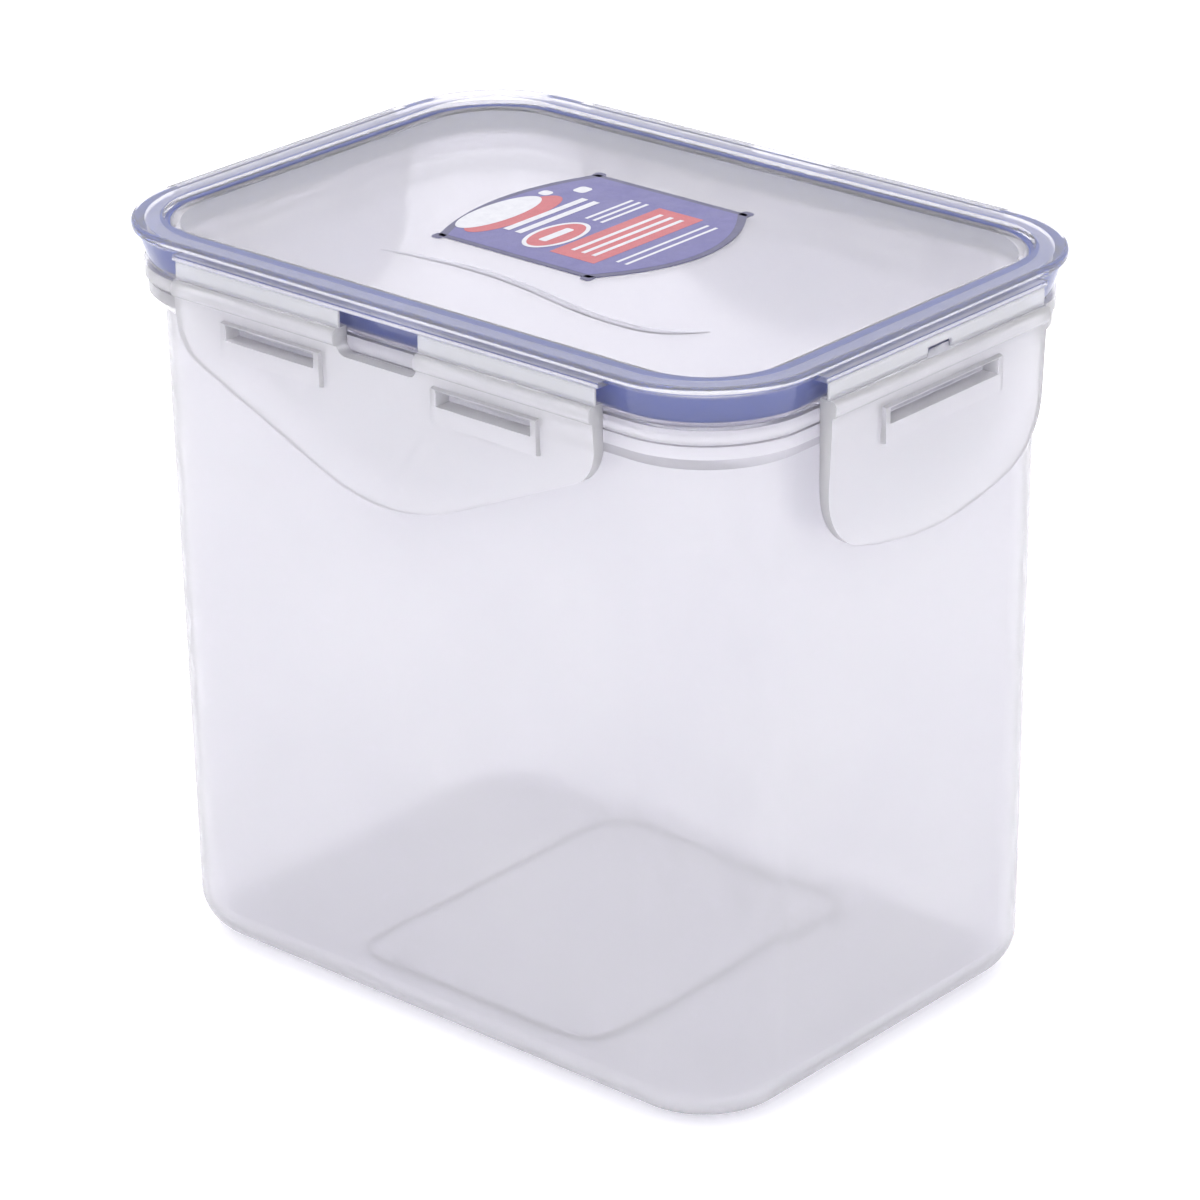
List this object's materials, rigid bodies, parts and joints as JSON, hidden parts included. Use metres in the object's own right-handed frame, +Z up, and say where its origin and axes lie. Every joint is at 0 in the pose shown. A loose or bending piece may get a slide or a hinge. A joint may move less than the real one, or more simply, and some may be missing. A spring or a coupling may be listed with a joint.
{
  "type": "food canister",
  "caption": "Deep clear rectangular food canister with a snap lid: hinged flaps lock over ribs on its collar and squeeze a hollow seal.",
  "frame": {"origin": "centre of the container's footprint, on the surface it stands on", "axes": "+X along the long side, +Y along the short side towards the back, +Z up through the lid"},
  "size_m": [0.1582, 0.115, 0.142],
  "materials": {
    "clear_tub": "clear, slightly milky polypropylene with a fine satin skin",
    "clear_lid": "clear, slightly milky polypropylene, glossy",
    "blue_silicone": "soft matt silicone",
    "printed_label": "smooth printed film"
  },
  "bodies": {
    "container": {"container_body": "clear_tub"},
    "lid": {"lid_plate": "clear_lid", "seal_gasket": "blue_silicone", "lid_label": "printed_label", "front_hinge_film_a": "clear_lid", "front_hinge_film_b": "clear_lid", "right_hinge_film": "clear_lid", "back_hinge_film_a": "clear_lid", "back_hinge_film_b": "clear_lid", "left_hinge_film": "clear_lid"},
    "front_clip": {"front_flap": "clear_lid"},
    "right_clip": {"right_flap": "clear_lid"},
    "back_clip": {"back_flap": "clear_lid"},
    "left_clip": {"left_flap": "clear_lid"}
  },
  "joints": [
    {"name": "lid_lift", "type": "slide", "parent": "container", "child": "lid", "axis": [0, 0, 1], "range_m": [0, 0.06]},
    {"name": "front_flap_hinge", "type": "hinge", "parent": "lid", "child": "front_clip", "pos_m": [0, -0.0558, 0.13825], "axis": [-1, 0, 0], "range_deg": [-6.5, 130], "deforming": ["front_hinge_film_a", "front_hinge_film_b"]},
    {"name": "right_flap_hinge", "type": "hinge", "parent": "lid", "child": "right_clip", "pos_m": [0.07735, 0, 0.13825], "axis": [0, -1, 0], "range_deg": [-6.5, 130], "deforming": ["right_hinge_film"]},
    {"name": "back_flap_hinge", "type": "hinge", "parent": "lid", "child": "back_clip", "pos_m": [0, 0.0558, 0.13825], "axis": [1, 0, 0], "range_deg": [-6.5, 130], "deforming": ["back_hinge_film_a", "back_hinge_film_b"]},
    {"name": "left_flap_hinge", "type": "hinge", "parent": "lid", "child": "left_clip", "pos_m": [-0.07735, 0, 0.13825], "axis": [0, 1, 0], "range_deg": [-6.5, 130], "deforming": ["left_hinge_film"]}
  ]
}
